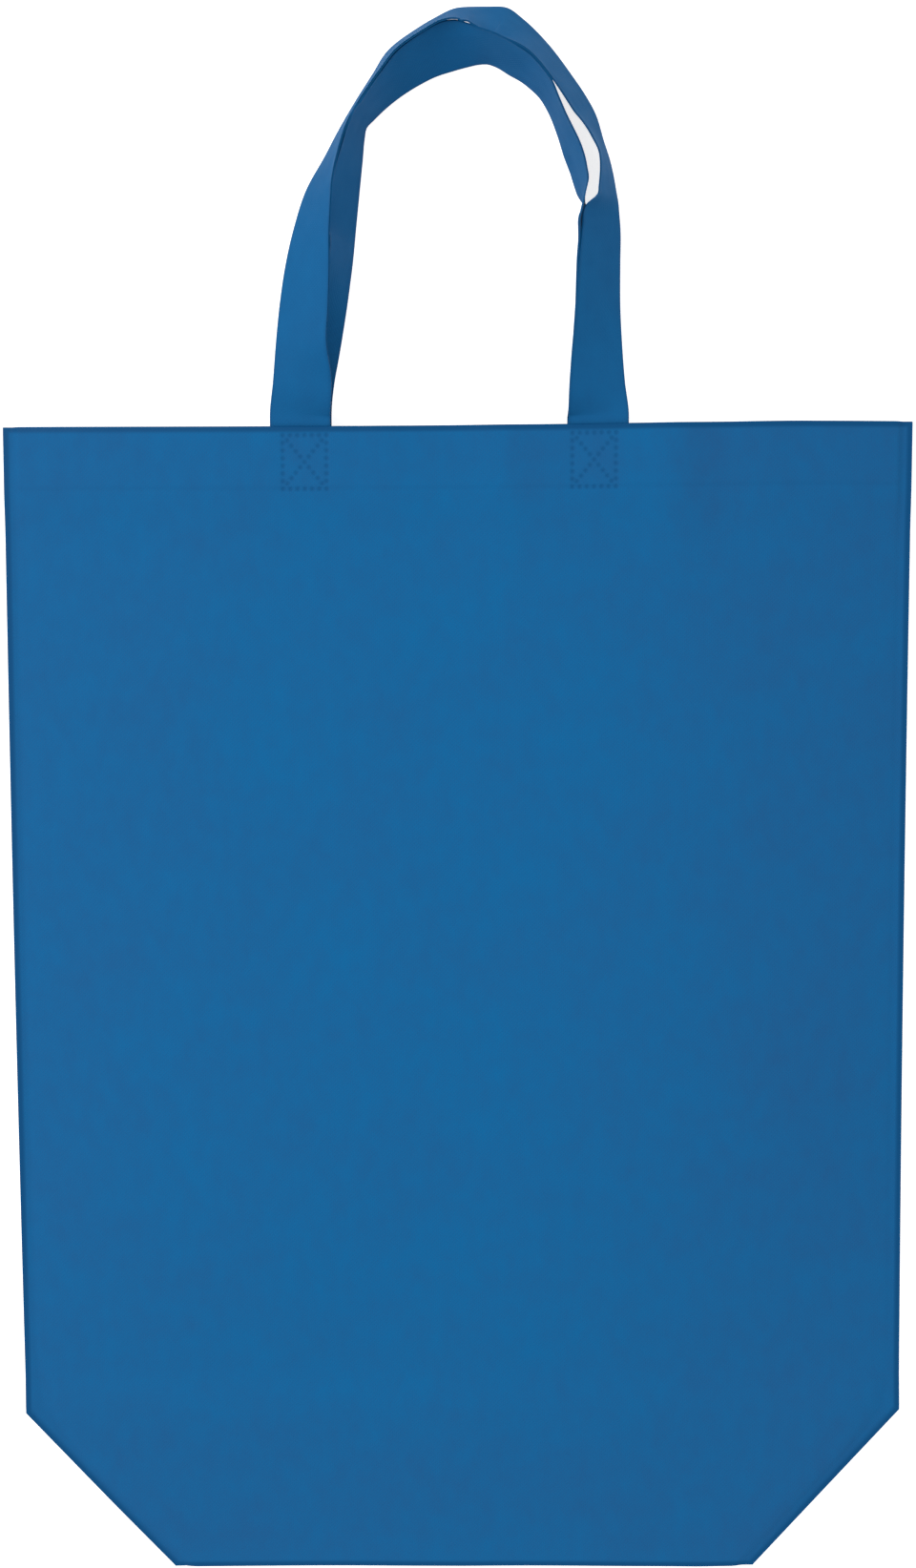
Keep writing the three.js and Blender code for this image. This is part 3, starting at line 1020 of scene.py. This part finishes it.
def strap(name, loop, seat, turned, finish, support=None):
    """One folded strap along its loop, rested on another strap on request."""
    route = smooth_route(stations(loop, seat, turned), ROUTE_STEP)
    if support:
        route = rested(route, support)
    turn_shares = [TURN_SHARE * i / TURN_CELLS for i in range(TURN_CELLS + 1)]
    wide_shares = [mix(EDGE_SHARE, 1 - EDGE_SHARE, i / STRAP_CELLS) for i in range(STRAP_CELLS + 1)]
    shares = turn_shares + wide_shares + [1.0]
    shares = [-share for share in reversed(shares[1:])] + shares
    lengths = [0.0]
    for near, far in zip(route, route[1:]):
        lengths.append(lengths[-1] + (far - near).to_3d().length)

    strip = bmesh.new()
    bmesh.ops.create_grid(strip, x_segments=len(shares) - 1, y_segments=len(route) - 1, size=0.5)
    flat_map = strip.loops.layers.uv.new("flat")
    weld_and_outline_share = strip.verts.layers.float.new("weld")
    grid_place = {}
    for vertex in strip.verts:
        column = round((vertex.co.x + 0.5) * (len(shares) - 1))
        row = round((vertex.co.y + 0.5) * (len(route) - 1))
        grid_place[vertex] = (shares[column] * STRAP_WIDTH, lengths[row])
        across, through = strap_axes(route, row, route[row].w)
        distance, depth = strap_section(shares[column])
        vertex.co = route[row].to_3d() + across * distance + through * depth
        from_edge = min(distance, STRAP_WIDTH - distance)
        # Both edges of the strap, at the fold and at the open edge, take part of the weld colour: a painted
        # dark outline for shade.
        vertex[weld_and_outline_share] = STRAP_EDGE_OUTLINE * (1 - soft_step(from_edge, 0, STRAP_EDGE_BORDER))
    for face in strip.faces:
        face.smooth = True
        for loop_corner in face.loops:
            across, along = grid_place[loop_corner.vert]
            loop_corner[flat_map].uv = ((across + STRAP_WIDTH) / FLAT_SPAN, along / FLAT_SPAN)
    strip_length = sum(face.calc_area() for face in strip.faces) / (2 * STRAP_WIDTH)
    piece = sheet_piece(name, strip, STRAP_SHEET, finish)
    print(name, f"{strip_length / mm:.0f} mm of strip", len(piece.data.polygons), "faces")
    return piece


def front_seat(x):
    return front_hem(x, MARK_MIDDLE) - SEAT


def back_seat(x):
    return back_hem(x, MARK_MIDDLE) + SEAT


front_strap = strap("front_strap", FRONT_LOOP, front_seat, False, strap_finish)
back_strap = strap("back_strap", BACK_LOOP, back_seat, True, strap_finish, front_strap)

# %% [markdown]
# ## Floor
# The bag lies on a plain pale floor, which takes its shadow. A brighter lamp would whiten the floor and
# wash out the bag, so the floor has a little light of its own instead, which only the camera and
# reflections see.

# %% Make the floor
FLOOR_SIZE = 4.0
FLOOR_DROP = 0.2 * mm
FLOOR_COLOUR = (0.8, 0.8, 0.8, 1)
FLOOR_GLOW = 0.78

floor_shape = bmesh.new()
bmesh.ops.create_grid(floor_shape, x_segments=1, y_segments=1, size=FLOOR_SIZE / 2)
floor_mesh = bpy.data.meshes.new("floor")
floor_shape.to_mesh(floor_mesh)
floor_shape.free()
floor = bpy.data.objects.new("floor", floor_mesh)
floor.location.z = -FLOOR_DROP
bpy.context.scene.collection.objects.link(floor)

floor_finish, start = new_material("floor")
path = start.add("ShaderNodeLightPath", None, None, "Is Camera Ray")
glossy = Wire(start.tree, path.socket.node.outputs["Is Glossy Ray"])
glow = start.add(
    "ShaderNodeEmission", None, {"Strength": start.math("MAXIMUM", path, glossy) * FLOOR_GLOW}
)
matt = start.add("ShaderNodeBsdfDiffuse", None, {"Color": FLOOR_COLOUR})
both = start.add("ShaderNodeAddShader", None, {0: matt, 1: glow})
start.add("ShaderNodeOutputMaterial", None, {"Surface": both})
floor_mesh.materials.append(floor_finish)
print("floor", FLOOR_SIZE, "m across")

# The flat sizes are those of the cut sheet: the web loses its four-layer corners, and each strap is a
# strip twice as wide as the finished handle.

# %% Ride and replace
WEB_CUT_AREA = 2 * HALF_WIDTH * WEB_LENGTH - 4 * CORNER_CUT * GUSSET_DEPTH

for piece, node, slot_name in (
    (bag, "bag_body", "bag_sheet"),
    (front_strap, "front_handle", "handle_strap"),
    (back_strap, "back_handle", "handle_strap"),
):
    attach(piece, "root")
    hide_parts(node)

# %% [markdown]
# The finished model has to keep the packed model's size, apart from a little room for soft sheet.
